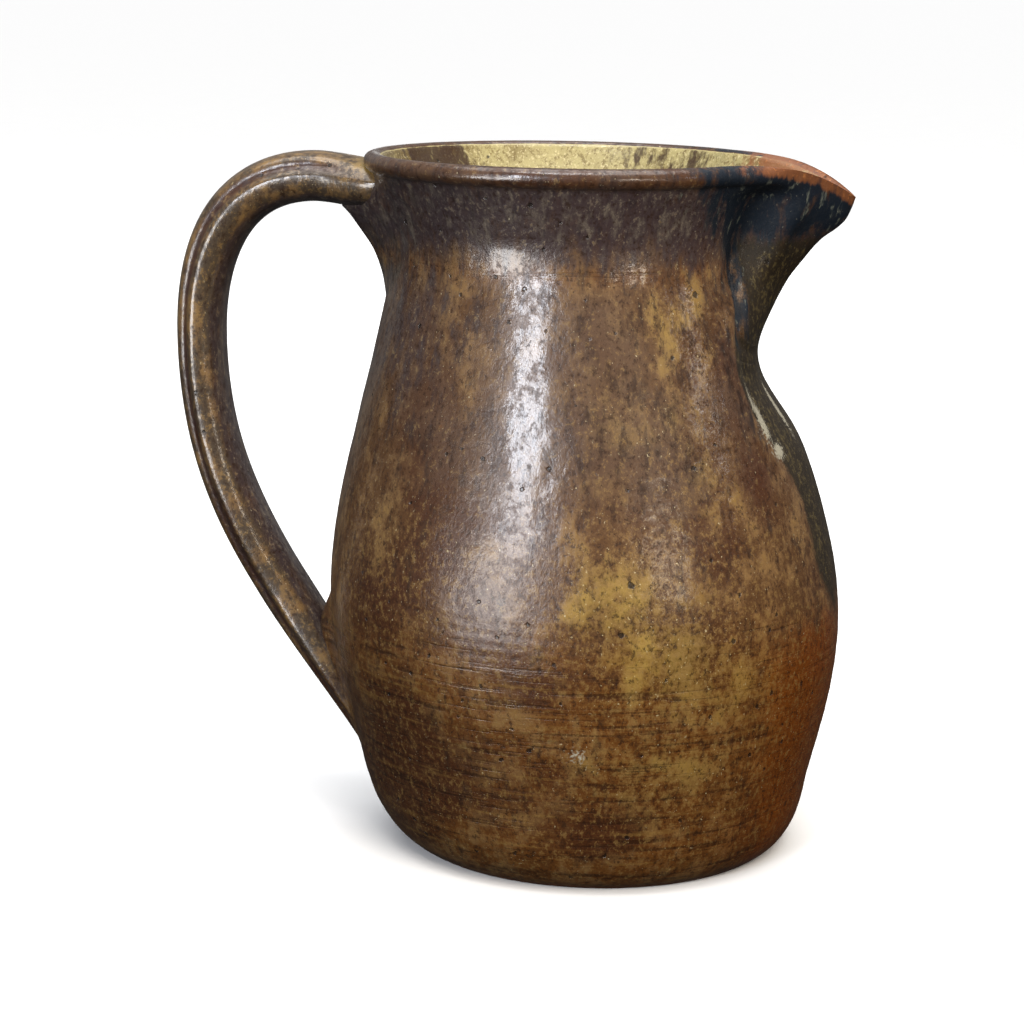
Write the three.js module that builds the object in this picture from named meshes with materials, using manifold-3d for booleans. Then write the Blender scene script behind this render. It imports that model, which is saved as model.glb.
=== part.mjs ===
// A hand-thrown stoneware pitcher: thrown body, luted beak spout, pulled strap handle, clay of their joints.
// Millimetres, +Z up. The origin is the flat foot's centre. The spout points along +X, the handle along -X.

import * as THREE from 'three';
import { mergeVertices } from 'three/addons/utils/BufferGeometryUtils.js';
import Module from 'manifold-3d';

const wasm = await Module();
wasm.setup();

// Thrown body: heights are above the table, radii are from the pot's own axis.
const RIM_HEIGHT = 215;
const RIM_RADIUS = 63.5;
const RIM_ROLL = 6; // height of the rolled edge
const RIM_GROOVE = 0.8; // depth of the line turned under the roll
const COLLAR_HEIGHT = 29; // neck crease to rim
const NECK_RADIUS = 54.5;
const BELLY_RADIUS = 79.6;
const BELLY_HEIGHT = 77;
const HEEL_RADIUS = 68.6;
const HEEL_HEIGHT = 16;
const FOOT_RADIUS = 57.5;
const WALL = 5.5;
const FLOOR = 8;
const LEAN = 11.2; // the rim's centre leans this far towards the handle

// How full the wall's curves are: lengths of the tangents at the heel, the belly and the neck.
const HEEL_TANGENT = 25;
const HEEL_FLARE = 5.75; // how far the heel's tangent runs outwards
const BELLY_TANGENT_DOWN = 20;
const BELLY_TANGENT_UP = 22;
const NECK_TANGENT = 60;
const NECK_TAPER = 15.9; // how far the neck's tangent runs outwards
const HEEL_CORNER_OUT = 0.67; // the heel curve's corner, as a share of the way from foot to heel
const HEEL_CORNER_UP = 0.25; // and of the way up
const COLLAR_CORNER_OUT = 0.25; // the collar curve's corner, as a share of its flare
const FLOOR_EDGE = 10; // the flat floor ends this far inside the foot's edge
const FLOOR_CORNER = 8; // the round between floor and wall turns this far inside the heel

// Beak spout, pulled out of the collar's circle. Drops are below the rim.
const SPOUT_PUSH = 23.8; // how far the lip's tip stands out from the rim's circle
const SPOUT_LIP_DROP = 9.8; // the tip lies this far below the rim
const SPOUT_LIP_DEPTH = 30; // the part of the beak that leans down with the tip
const SPOUT_START_DROP = 57;
const SPOUT_FULL_DROP = 8;
const SPOUT_NOSE = 0.15; // roundness of the keel, as a share of the way to the seam
const SPOUT_FLANK = 1.4; // above 1 the flanks draw in towards the keel
const SPOUT_LIP_FALL = 2.2; // above 1 the lip stays level for longer before it falls to the tip
const THROAT_DENT = 7.3; // the potter's thumb mark under the beak
const THROAT_DROP = 65;
const THROAT_SPREAD = 10.5;

// Notch cut for the beak, seen from the side, and the coil pressed into its seam.
const NOTCH_BITE = 6; // from the neck's front back to the cut
const NOTCH_SLANT = 3; // the cut lies this much further out at its bottom than at the rim
const NOTCH_DROP = 61; // rim to the notch's bottom
const NOTCH_CORNER = 11; // rounding between the cut's back and its bottom
const COIL_WIDTH = 3.5;

// Pulled strap handle. Stand-offs are from the body's wall to the strap's middle.
const STRAP_WIDTH = 25;
const STRAP_THICKNESS = 14.5;
const STRAP_GROOVE = 1.6; // thumb groove along the outer face
const STRAP_RIDGES = 15; // between the ridges beside the groove
const HANDLE_DROP = 10.5; // rim to the strap's middle at the collar
const ARCH_DROP = 8.6; // rim to the strap's middle at the top of the arch
const ARCH_STAND_OFF = 18; // wall to the top of the arch
const ARCH_TANGENT = 25.5;
const GRIP_DROP = 57; // rim to the strap's outermost point
const FINGER_ROOM = 48; // clear gap between wall and strap there
const GRIP_TANGENT_UP = 27;
const GRIP_TANGENT_DOWN = 53;
const TAIL_HEIGHT = 31;
const TAIL_TANGENT_IN = 28; // the tail's slope: this far in
const TAIL_TANGENT_DOWN = 41; // for this far down
const ROOT_DEPTH = 4; // the strap's ends are cut to the wall from this far inside it

// Clay wiped into the handle's joints.
const UPPER_WAD_REACH = 11; // along the strap's underside
const UPPER_WAD_LENGTH = 26; // down the wall from the strap's underside
const UPPER_WAD_HOLLOW = 3; // how far its hollow face's corner stands out from the wall
const UPPER_WAD_HOLLOW_DROP = 17; // and lies below the strap's underside
const LOWER_WAD_TOP_GAP = 6; // the lower wad's top lies where the strap stands this far off the wall
const LOWER_WAD_TOE_GAP = 0.9; // and its bottom where it stands this far off
const WAD_INSET = 3; // from the strap's sides
const UPPER_WAD_FAN = 0.5; // how much wider it is where it runs out on the neck

// Slip layer between joined pieces, and how finely curves are faceted.
const LUTING_GAP = 0.3;
const TURN_STEPS = 72;
const STRAP_STEPS = 32;
const CROTCH_STEPS = 200;
const WALL_STEPS = { heel: 4, lower: 5, upper: 12, collar: 3, roll: 5, floor: 3 };

const NECK_HEIGHT = RIM_HEIGHT - COLLAR_HEIGHT;
const ROLL_RADIUS = RIM_ROLL / 2;

// Solids

function solidOf(geometry) {
  const plain = geometry.clone();
  plain.deleteAttribute('normal');
  plain.deleteAttribute('uv');
  const merged = mergeVertices(plain, 1e-4);
  const corners = merged.index.array;
  const triangles = [];
  for (let i = 0; i < corners.length; i += 3) {
    const [a, b, c] = [corners[i], corners[i + 1], corners[i + 2]];
    if (a !== b && b !== c && c !== a) {
      triangles.push(a, b, c);
    }
  }
  return new wasm.Manifold(new wasm.Mesh({
    numProp: 3,
    vertProperties: Float32Array.from(merged.attributes.position.array),
    triVerts: Uint32Array.from(triangles),
  }));
}

function meshOf(name, solid, colour, roughness) {
  const { vertProperties, triVerts } = solid.getMesh();
  const geometry = new THREE.BufferGeometry();
  geometry.setAttribute('position', new THREE.BufferAttribute(vertProperties, 3));
  geometry.setIndex(new THREE.BufferAttribute(triVerts, 1));
  geometry.computeVertexNormals();
  const material = new THREE.MeshStandardMaterial({ color: colour, roughness, metalness: 0 });
  const mesh = new THREE.Mesh(geometry, material);
  mesh.name = name;
  return mesh;
}

function movePoints(geometry, move) {
  const position = geometry.attributes.position;
  const point = new THREE.Vector3();
  for (let i = 0; i < position.count; i += 1) {
    move(point.fromBufferAttribute(position, i));
    position.setXYZ(i, point.x, point.y, point.z);
  }
  return geometry;
}

// Body profile

const profilePoint = (radius, height) => new THREE.Vector2(radius, height);

// The outside wall from the foot's edge up to the roll, moved outwards by a clearance.
function outerWall(clearance = 0) {
  const foot = profilePoint(FOOT_RADIUS, 0);
  const heel = profilePoint(HEEL_RADIUS, HEEL_HEIGHT);
  const belly = profilePoint(BELLY_RADIUS, BELLY_HEIGHT);
  const neck = profilePoint(NECK_RADIUS, NECK_HEIGHT);
  const groove = profilePoint(RIM_RADIUS - ROLL_RADIUS / 2 - RIM_GROOVE, RIM_HEIGHT - RIM_ROLL);
  const heelCorner = profilePoint(
    THREE.MathUtils.lerp(foot.x, heel.x, HEEL_CORNER_OUT),
    heel.y * HEEL_CORNER_UP,
  );
  const heelCurve = new THREE.QuadraticBezierCurve(foot, heelCorner, heel);
  const lowerCurve = new THREE.CubicBezierCurve(
    heel,
    profilePoint(heel.x + HEEL_FLARE, heel.y + HEEL_TANGENT),
    profilePoint(belly.x, belly.y - BELLY_TANGENT_DOWN),
    belly,
  );
  const upperCurve = new THREE.CubicBezierCurve(
    belly,
    profilePoint(belly.x, belly.y + BELLY_TANGENT_UP),
    profilePoint(neck.x + NECK_TAPER, neck.y - NECK_TANGENT),
    neck,
  );
  const collarCurve = new THREE.QuadraticBezierCurve(
    neck,
    profilePoint(THREE.MathUtils.lerp(neck.x, groove.x, COLLAR_CORNER_OUT), (neck.y + groove.y) / 2),
    groove,
  );
  const points = [
    ...heelCurve.getPoints(WALL_STEPS.heel),
    ...lowerCurve.getPoints(WALL_STEPS.lower).slice(1),
    ...upperCurve.getPoints(WALL_STEPS.upper).slice(1),
    ...collarCurve.getPoints(WALL_STEPS.collar).slice(1),
  ];
  return points.map(({ x, y }) => profilePoint(x + clearance, y));
}

const WALL_POINTS = outerWall();

function radiusAt(height) {
  const inside = THREE.MathUtils.clamp(height, 0, WALL_POINTS.at(-1).y);
  const above = Math.max(1, WALL_POINTS.findIndex(({ y }) => y >= inside));
  const [low, high] = [WALL_POINTS[above - 1], WALL_POINTS[above]];
  return THREE.MathUtils.mapLinear(inside, low.y, high.y, low.x, high.x);
}

const leanAt = (height) => -LEAN * height / RIM_HEIGHT;

// The rolled rim's rounded edge, from the groove outside over the top to the inside of the collar.
function rimRoll(clearance = 0) {
  const centre = profilePoint(RIM_RADIUS - ROLL_RADIUS, RIM_HEIGHT - ROLL_RADIUS);
  const arc = new THREE.EllipseCurve(
    centre.x,
    centre.y,
    ROLL_RADIUS + clearance,
    ROLL_RADIUS + clearance,
    -Math.PI / 6,
    Math.PI,
  );
  return arc.getPoints(WALL_STEPS.roll);
}

function innerWall() {
  const floorEdge = profilePoint(FOOT_RADIUS - FLOOR_EDGE, FLOOR);
  const floorCorner = profilePoint(HEEL_RADIUS - FLOOR_CORNER, FLOOR);
  const heel = profilePoint(radiusAt(HEEL_HEIGHT + FLOOR) - WALL, HEEL_HEIGHT + FLOOR);
  const floorCurve = new THREE.QuadraticBezierCurve(heel, floorCorner, floorEdge);
  const wall = WALL_POINTS
    .filter(({ y }) => y > heel.y + FLOOR / 2 && y < RIM_HEIGHT - RIM_ROLL)
    .map(({ x, y }) => profilePoint(x - WALL, y));
  return [...wall.reverse(), ...floorCurve.getPoints(WALL_STEPS.floor), profilePoint(0, FLOOR)];
}

function lathe(points) {
  const turned = new THREE.LatheGeometry(points, TURN_STEPS);
  turned.rotateX(Math.PI / 2);
  return movePoints(turned, (point) => {
    point.x += leanAt(point.z);
  });
}

// Beak spout: between the seams the wall is drawn out to a keel at +X, and its lip leans down to the tip.

function seamAt(height) {
  const neckFront = leanAt(NECK_HEIGHT) + NECK_RADIUS;
  const drop = THREE.MathUtils.clamp(RIM_HEIGHT - height, 0, NOTCH_DROP);
  return neckFront - NOTCH_BITE + NOTCH_SLANT * (drop / NOTCH_DROP - 0.5);
}

function spoutShare(point) {
  const side = Math.abs(Math.atan2(point.y, point.x - leanAt(point.z)));
  const seamSide = Math.acos(Math.min(1, (seamAt(point.z) - leanAt(point.z)) / radiusAt(point.z)));
  const share = Math.min(1, side / seamSide);
  const rounded = Math.hypot(share, SPOUT_NOSE) - SPOUT_NOSE;
  const widest = Math.hypot(1, SPOUT_NOSE) - SPOUT_NOSE;
  return (1 - rounded / widest) ** SPOUT_FLANK;
}

function pullSpout(point) {
  const share = spoutShare(point);
  const drop = RIM_HEIGHT - point.z;
  const pull = THREE.MathUtils.smoothstep(-drop, -SPOUT_START_DROP, -SPOUT_FULL_DROP);
  const lip = THREE.MathUtils.smoothstep(-drop, -SPOUT_LIP_DEPTH, 0);
  const throat = Math.exp(-0.5 * ((drop - THROAT_DROP) / THROAT_SPREAD) ** 2);
  point.x += share * (SPOUT_PUSH * pull - THROAT_DENT * throat);
  point.z -= share ** SPOUT_LIP_FALL * lip * SPOUT_LIP_DROP;
}

// An outline in the plane of the handle and the spout, made a block of the given width about that plane.
function sideBlock(outline, width) {
  const block = new THREE.ExtrudeGeometry(outline, { depth: width, bevelEnabled: false, curveSegments: 6 });
  const sideways = new THREE.Matrix4().makeBasis(
    new THREE.Vector3(1, 0, 0),
    new THREE.Vector3(0, 0, 1),
    new THREE.Vector3(0, -1, 0),
  );
  return block.applyMatrix4(sideways).translate(0, width / 2, 0);
}

// What the notch takes out of the pot, drawn in by an inset.
function notchBlock(inset) {
  const top = RIM_HEIGHT + RIM_ROLL;
  const bottom = RIM_HEIGHT - NOTCH_DROP + inset;
  const back = seamAt(bottom) + inset;
  const front = RIM_RADIUS + SPOUT_PUSH + LEAN;
  const outline = new THREE.Shape();
  outline.moveTo(seamAt(top) + inset, top);
  outline.lineTo(back, bottom + NOTCH_CORNER);
  outline.quadraticCurveTo(back, bottom, back + NOTCH_CORNER, bottom);
  outline.lineTo(front, bottom);
  outline.lineTo(front, top);
  return solidOf(sideBlock(outline, 2 * BELLY_RADIUS));
}

function thrownPot() {
  const base = profilePoint(0, 0);
  const profile = [base, ...WALL_POINTS, ...rimRoll(), ...innerWall()];
  return solidOf(movePoints(lathe(profile), pullSpout));
}

// The body's outside as a filled form, one luting gap larger: what is joined to the wall is cut to it.
function wallFormer() {
  const top = profilePoint(0, RIM_HEIGHT + LUTING_GAP);
  const profile = [
    profilePoint(0, -LUTING_GAP),
    profilePoint(FOOT_RADIUS + LUTING_GAP, -LUTING_GAP),
    ...outerWall(LUTING_GAP).slice(1),
    ...rimRoll(LUTING_GAP).slice(0, 4),
    top,
  ];
  return solidOf(lathe(profile));
}

// Strap handle

// A point on the handle's side, a stand-off outside the wall.
function wallPoint(height, standOff) {
  return new THREE.Vector3(leanAt(height) - radiusAt(height) - standOff, 0, height);
}

function strapLine() {
  const root = wallPoint(RIM_HEIGHT - HANDLE_DROP, -ROOT_DEPTH);
  const arch = wallPoint(RIM_HEIGHT - ARCH_DROP, ARCH_STAND_OFF);
  const grip = wallPoint(RIM_HEIGHT - GRIP_DROP, FINGER_ROOM + STRAP_THICKNESS / 2);
  const tail = wallPoint(TAIL_HEIGHT, -ROOT_DEPTH);
  const over = new THREE.CubicBezierCurve3(
    arch,
    arch.clone().add(new THREE.Vector3(-ARCH_TANGENT, 0, 0)),
    grip.clone().add(new THREE.Vector3(0, 0, GRIP_TANGENT_UP)),
    grip,
  );
  const down = new THREE.CubicBezierCurve3(
    grip,
    grip.clone().add(new THREE.Vector3(0, 0, -GRIP_TANGENT_DOWN)),
    tail.clone().add(new THREE.Vector3(-TAIL_TANGENT_IN, 0, TAIL_TANGENT_DOWN)),
    tail,
  );
  return new THREE.CatmullRomCurve3([root, ...over.getPoints(6), ...down.getPoints(8).slice(1)]);
}

// The strap's section: half an ellipse inside, two ridges and a thumb groove outside, grown by a clearance.
function strapSection(clearance) {
  const half = STRAP_WIDTH / 2 + clearance;
  const depth = STRAP_THICKNESS / 2 + clearance;
  const ridge = STRAP_RIDGES / 2;
  const section = new THREE.Shape();
  section.absellipse(0, 0, half, depth, Math.PI, 2 * Math.PI);
  section.splineThru([
    new THREE.Vector2(ridge, depth),
    new THREE.Vector2(0, depth - STRAP_GROOVE),
    new THREE.Vector2(-ridge, depth),
    new THREE.Vector2(-half, 0),
  ]);
  return section;
}

function strap(clearance = 0) {
  const options = { steps: STRAP_STEPS, extrudePath: strapLine(), bevelEnabled: false, curveSegments: 4 };
  return solidOf(new THREE.ExtrudeGeometry(strapSection(clearance), options));
}

// Clay wiped into the corners between the strap and the wall.

const wad = (outline) => sideBlock(outline, STRAP_WIDTH - 2 * WAD_INSET);

function upperWad() {
  const middle = RIM_HEIGHT - HANDLE_DROP;
  const underside = middle - STRAP_THICKNESS / 2;
  const end = wallPoint(underside, UPPER_WAD_REACH);
  const foot = wallPoint(underside - UPPER_WAD_LENGTH, 0);
  const hollow = wallPoint(underside - UPPER_WAD_HOLLOW_DROP, UPPER_WAD_HOLLOW);
  const outline = new THREE.Shape();
  outline.moveTo(wallPoint(middle, -ROOT_DEPTH).x, middle);
  outline.lineTo(end.x, middle);
  outline.lineTo(end.x, end.z);
  outline.quadraticCurveTo(hollow.x, hollow.z, foot.x, foot.z);
  outline.lineTo(foot.x + ROOT_DEPTH, foot.z);
  const fanned = movePoints(wad(outline), (point) => {
    point.y *= 1 + UPPER_WAD_FAN * Math.max(0, underside - point.z) / UPPER_WAD_LENGTH;
  });
  return solidOf(fanned);
}

// The height, going up from the tail, at which the strap's inside face stands a given distance off the wall.
function crotchHeight(gap) {
  const line = strapLine();
  const stations = line.getPoints(CROTCH_STEPS).map((middle, i) => {
    const along = line.getTangent(i / CROTCH_STEPS);
    const inwards = new THREE.Vector3(-along.z, 0, along.x);
    return middle.addScaledVector(inwards, STRAP_THICKNESS / 2);
  });
  return stations.findLast(({ x, z }) => wallPoint(z, gap).x > x).z;
}

function lowerWad() {
  const reach = STRAP_THICKNESS / 2;
  const top = wallPoint(crotchHeight(LOWER_WAD_TOP_GAP), LOWER_WAD_TOP_GAP);
  const bottom = wallPoint(crotchHeight(LOWER_WAD_TOE_GAP), LOWER_WAD_TOE_GAP);
  const outline = new THREE.Shape();
  outline.moveTo(top.x + LOWER_WAD_TOP_GAP + ROOT_DEPTH, top.z);
  outline.lineTo(top.x - reach, top.z);
  outline.lineTo(bottom.x - reach, bottom.z);
  outline.lineTo(bottom.x + LOWER_WAD_TOE_GAP + ROOT_DEPTH, bottom.z);
  return solidOf(wad(outline));
}

// Assembly

const pot = thrownPot();
const former = wallFormer();
const strapHole = strap(LUTING_GAP);

const body = pot.subtract(notchBlock(0));
const coil = pot
  .intersect(notchBlock(LUTING_GAP))
  .subtract(notchBlock(LUTING_GAP + COIL_WIDTH));
const spout = pot.intersect(notchBlock(COIL_WIDTH + 2 * LUTING_GAP));

const pitcher = new THREE.Group();
pitcher.add(
  meshOf('thrown_body', body, 0x5c452c, 0.35),
  meshOf('beak_spout', spout, 0x3d3a34, 0.4),
  meshOf('spout_seam_coil', coil, 0x2f2f30, 0.4),
  meshOf('strap_handle', strap().subtract(former), 0x5d4d38, 0.35),
  meshOf('upper_joint_clay', upperWad().subtract(former).subtract(strapHole), 0x4d4338, 0.45),
  meshOf('lower_joint_clay', lowerWad().subtract(former).subtract(strapHole), 0x5a4a30, 0.45),
);

export default pitcher;
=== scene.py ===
# %% [markdown]
# # A salt-glazed stoneware pitcher
#
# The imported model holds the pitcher's pieces at their real size: the thrown body, the beak spout, the coil
# in its seam, the pulled strap handle and the two wads of clay at the handle's joints. This lesson makes
# each piece again as a finer mesh in the same place, gives it the glaze that the kiln gave it, and lights
# it as in a studio. All modelling is done in millimetres, and each finished mesh is scaled to metres in one
# place.

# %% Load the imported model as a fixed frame
import math

import bmesh
import bpy
import numpy as np
from mathutils import Matrix, Vector, noise
from mathutils.geometry import interpolate_bezier
from mathutils.kdtree import KDTree


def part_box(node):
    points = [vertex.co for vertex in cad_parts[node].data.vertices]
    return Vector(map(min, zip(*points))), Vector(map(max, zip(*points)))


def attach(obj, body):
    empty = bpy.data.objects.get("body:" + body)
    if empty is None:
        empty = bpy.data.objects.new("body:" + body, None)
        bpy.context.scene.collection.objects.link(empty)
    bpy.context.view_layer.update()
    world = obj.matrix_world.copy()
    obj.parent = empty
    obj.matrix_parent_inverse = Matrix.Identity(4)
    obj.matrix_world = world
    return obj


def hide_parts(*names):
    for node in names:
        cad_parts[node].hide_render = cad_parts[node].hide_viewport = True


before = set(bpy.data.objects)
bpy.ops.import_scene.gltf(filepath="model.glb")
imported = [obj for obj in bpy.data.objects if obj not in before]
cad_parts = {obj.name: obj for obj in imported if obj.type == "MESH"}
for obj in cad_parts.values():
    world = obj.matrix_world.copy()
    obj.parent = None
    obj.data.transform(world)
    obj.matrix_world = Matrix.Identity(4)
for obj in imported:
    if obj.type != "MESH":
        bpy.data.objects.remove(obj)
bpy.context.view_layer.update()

MM = 0.001
scene = bpy.context.scene
print("CAD nodes:", sorted(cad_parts))

# %% [markdown]
# ## Camera
#
# A pot is best judged from where its maker looks at it: a little above the rim, at arm's length. The camera
# is turned by three angles about its own place, which is easier to read than a matrix of numbers: heading
# first, then the tilt down to the pot, then a touch of roll.

# %% Place the camera
IMAGE_SIZE = 1024  # pixels, both ways
FOCAL_LENGTH = 2600.5  # pixels
CAMERA_PLACE = (55.8, -798.0, 270.5)
CAMERA_HEADING = math.radians(5.94)  # to the left of +Y
CAMERA_TILT = math.radians(-11.83)
CAMERA_ROLL = math.radians(0.99)

camera_data = bpy.data.cameras.new("camera")
camera_data.sensor_width = 36
camera_data.lens = camera_data.sensor_width * FOCAL_LENGTH / IMAGE_SIZE
camera = bpy.data.objects.new("camera", camera_data)
scene.collection.objects.link(camera)
turn = Matrix.Rotation(CAMERA_HEADING, 4, "Z")
tilt = Matrix.Rotation(math.pi / 2 + CAMERA_TILT, 4, "X")
roll = Matrix.Rotation(CAMERA_ROLL, 4, "Z")
camera.matrix_world = Matrix.Translation(Vector(CAMERA_PLACE) * MM) @ turn @ tilt @ roll
scene.camera = camera
print("lens", round(camera_data.lens, 1), "mm")

# %% [markdown]
# ## The body's profile
#
# A thrown pot is a solid of revolution, so one profile gives its whole shape: the flat foot, the heel, the
# belly, the shoulder, the neck crease, the flared collar and the rolled rim, then back down inside to the
# floor. Each stretch is one Bezier curve between two places that a potter would name, with its two handles
# given as offsets. Shoulder and collar would meet in a sharp crease, which no finger leaves, so one more
# curve rounds it.

# %% Draw the outside
RIM_HEIGHT = round(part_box("thrown_body")[1].z / MM)
BELLY_RADIUS = round(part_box("thrown_body")[1].y / MM, 1)
BELLY_HEIGHT = 77
RIM_RADIUS = 63.5
ROLL_RADIUS = 3
COLLAR_HEIGHT = 29
NECK_HEIGHT = RIM_HEIGHT - COLLAR_HEIGHT
NECK_RADIUS = 54.5
CREASE = 7  # the neck's crease is rounded over this height to each side
CREASE_PULL = 0.6  # how far the rounding's handles reach to the sharp corner
HEEL_RADIUS = 68.6
HEEL_HEIGHT = 16
FOOT_RADIUS = 57.5
QUARTER_CIRCLE = 0.55  # a Bezier handle of this share of the radius makes a quarter circle


def curve(start, start_handle, end_handle, end, steps):
    """Points of one Bezier stretch after its start, as (radius, 0, height)."""
    start, end = Vector((start[0], 0, start[1])), Vector((end[0], 0, end[1]))
    leave = start + Vector((start_handle[0], 0, start_handle[1]))
    arrive = end + Vector((end_handle[0], 0, end_handle[1]))
    return interpolate_bezier(start, leave, arrive, end, steps + 1)[1:]


foot = (FOOT_RADIUS, 0)
heel = (HEEL_RADIUS, HEEL_HEIGHT)
belly = (BELLY_RADIUS, BELLY_HEIGHT)
neck = (NECK_RADIUS, NECK_HEIGHT)
groove = (RIM_RADIUS - ROLL_RADIUS / 2 - 0.8, RIM_HEIGHT - 2 * ROLL_RADIUS)
roll_out = (RIM_RADIUS, RIM_HEIGHT - ROLL_RADIUS)
roll_top = (RIM_RADIUS - ROLL_RADIUS, RIM_HEIGHT)
roll_in = (RIM_RADIUS - 2 * ROLL_RADIUS, RIM_HEIGHT - ROLL_RADIUS)
round_off = ROLL_RADIUS * QUARTER_CIRCLE

shoulder = curve(belly, (0, 22), (15.9, -60), neck, 108)
shoulder = [point for point in shoulder if point.z < NECK_HEIGHT - CREASE]
collar = curve(neck, (1.2, 7.7), (-3.3, -7.7), groove, 24)
collar = [point for point in collar if point.z > NECK_HEIGHT + CREASE]
below, above = shoulder[-1], collar.pop(0)
sharp = Vector((NECK_RADIUS, 0, NECK_HEIGHT))
leave, arrive = (end.lerp(sharp, CREASE_PULL) for end in (below, above))
crease = interpolate_bezier(below, leave, arrive, above, 15)[1:]
outer_wall = [
    Vector((FOOT_RADIUS, 0, 0)),
    *curve(foot, (5, 2.7), (-2.4, -8), heel, 14),
    *curve(heel, (5.75, 25), (0, -20), belly, 58),
    *shoulder,
    *crease,
    *collar,
]
rim_roll = [
    *curve(groove, (1, 0.3), (0, -round_off), roll_out, 6),
    *curve(roll_out, (0, round_off), (round_off, 0), roll_top, 6),
    *curve(roll_top, (-round_off, 0), (0, round_off), roll_in, 5),
]
wall_heights = [point.z for point in outer_wall]
wall_radii = [point.x for point in outer_wall]
print("outside of", len(outer_wall), "points, rim", RIM_HEIGHT, "mm, belly", 2 * BELLY_RADIUS, "mm")

# %% Draw the inside and close the profile
WALL = 5.5
FLOOR = 8
FLOOR_EDGE_RADIUS = FOOT_RADIUS - 10

floor_top = HEEL_HEIGHT + FLOOR
inner_wall = [
    Vector((point.x - WALL, 0, point.z))
    for point in outer_wall[::-2]
    if floor_top < point.z < RIM_HEIGHT - 2 * ROLL_RADIUS
]
inner_heel = (inner_wall[-1].x, inner_wall[-1].z)
floor_edge = (FLOOR_EDGE_RADIUS, FLOOR)
inner_floor = [
    *curve(inner_heel, (-1.4, -9), (8, 0), floor_edge, 12),
    *curve(floor_edge, (0, 0), (0, 0), (0, FLOOR), 8),
]
base = [Vector((FOOT_RADIUS * share, 0, 0)) for share in (0, 0.25, 0.5, 0.75, 0.92)]
profile = base + outer_wall + rim_roll + inner_wall + inner_floor
print("profile of", len(profile), "points, wall", WALL, "mm")

# %% [markdown]
# ## Turning it on the wheel
#
# Blender's spin is the potter's wheel. The sector that becomes the beak needs a finer mesh than the rest,
# for the folds beside it, so the profile is spun twice: first across the front in small steps, and then on
# round the back.

# %% Spin the profile
FRONT_HALF_ANGLE = math.radians(52)
FRONT_STEPS = 150
BACK_STEPS = 140
WELD = 0.001

pot = bmesh.new()
points = [pot.verts.new(point) for point in profile]
edges = [pot.edges.new(pair) for pair in zip(points, points[1:])]
bmesh.ops.rotate(pot, verts=points, cent=(0, 0, 0), matrix=Matrix.Rotation(-FRONT_HALF_ANGLE, 3, "Z"))
front = bmesh.ops.spin(
    pot, geom=points + edges, cent=(0, 0, 0), axis=(0, 0, 1), angle=2 * FRONT_HALF_ANGLE, steps=FRONT_STEPS,
)
bmesh.ops.spin(
    pot, geom=front["geom_last"], cent=(0, 0, 0), axis=(0, 0, 1),
    angle=2 * math.pi - 2 * FRONT_HALF_ANGLE, steps=BACK_STEPS,
)
bmesh.ops.remove_doubles(pot, verts=pot.verts, dist=WELD)
bmesh.ops.recalc_face_normals(pot, faces=pot.faces)
print("pot:", len(pot.faces), "faces, open edges:", sum(edge.is_boundary for edge in pot.edges))

# %% [markdown]
# ## Hand marks and the beak
#
# What makes it a hand-made pot is that nothing stays round. The fingers leave a spiral of throwing rings,
# strongest below the belly, and soft dents all over. The heel sags, and the rim leans back to the handle.
# At the front the collar is drawn out to a beak, and under the beak a thumb has pressed the throat in, with
# a fold at each side. All of this is a move of the spun points: it could be sculpted, but a formula in the
# pot's own terms, height and angle, can be read and changed.

# %% Ramps, and the pot's own measures
LEAN = 11.2  # the rim's centre leans this far towards the handle
NOTCH_HEIGHT = RIM_HEIGHT - 61
SEAM_INSET = 6  # the seam lies this far behind the front of the neck
SEAM_SLANT = 3  # and slants by this much from the rim to the notch's bottom


def smooth(values, low, high):
    """0 below low, 1 above high, and an S-shaped ramp between."""
    share = np.clip((values - low) / (high - low), 0, 1)
    return share * share * (3 - 2 * share)


def bell(values, centre, spread):
    """1 at the centre, falling off softly over the spread to each side."""
    return np.exp(-(((values - centre) / spread) ** 2))


def wall_radius(height):
    """The body's outside radius at a height, or at many."""
    return np.interp(height, wall_heights, wall_radii)


def outside_share(points):
    """1 on the outside of the spun wall, 0 on its inside, with a ramp over the rim."""
    skin = wall_radius(points[:, 2])
    return smooth(np.hypot(points[:, 0], points[:, 1]), skin - 0.7 * WALL, skin - 0.3 * WALL)


def lean_at(height):
    """How far the wall's centre lies along x at a height."""
    return -LEAN * height / RIM_HEIGHT


def seam_at(height):
    """How far in front of the origin the beak's seam lies, seen from the side."""
    drop = np.clip((RIM_HEIGHT - height) / (RIM_HEIGHT - NOTCH_HEIGHT), 0, 1)
    return lean_at(NECK_HEIGHT) + NECK_RADIUS - SEAM_INSET + SEAM_SLANT * (drop - 0.5)


def seam_angle(height):
    """The angle round the pot, from the front, at which the seam crosses a height."""
    return np.arccos(np.clip((seam_at(height) - lean_at(height)) / wall_radius(height), -1, 1))


print("seam", round(float(seam_at(NECK_HEIGHT)), 1), "mm in front of the foot's centre at the neck")

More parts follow.
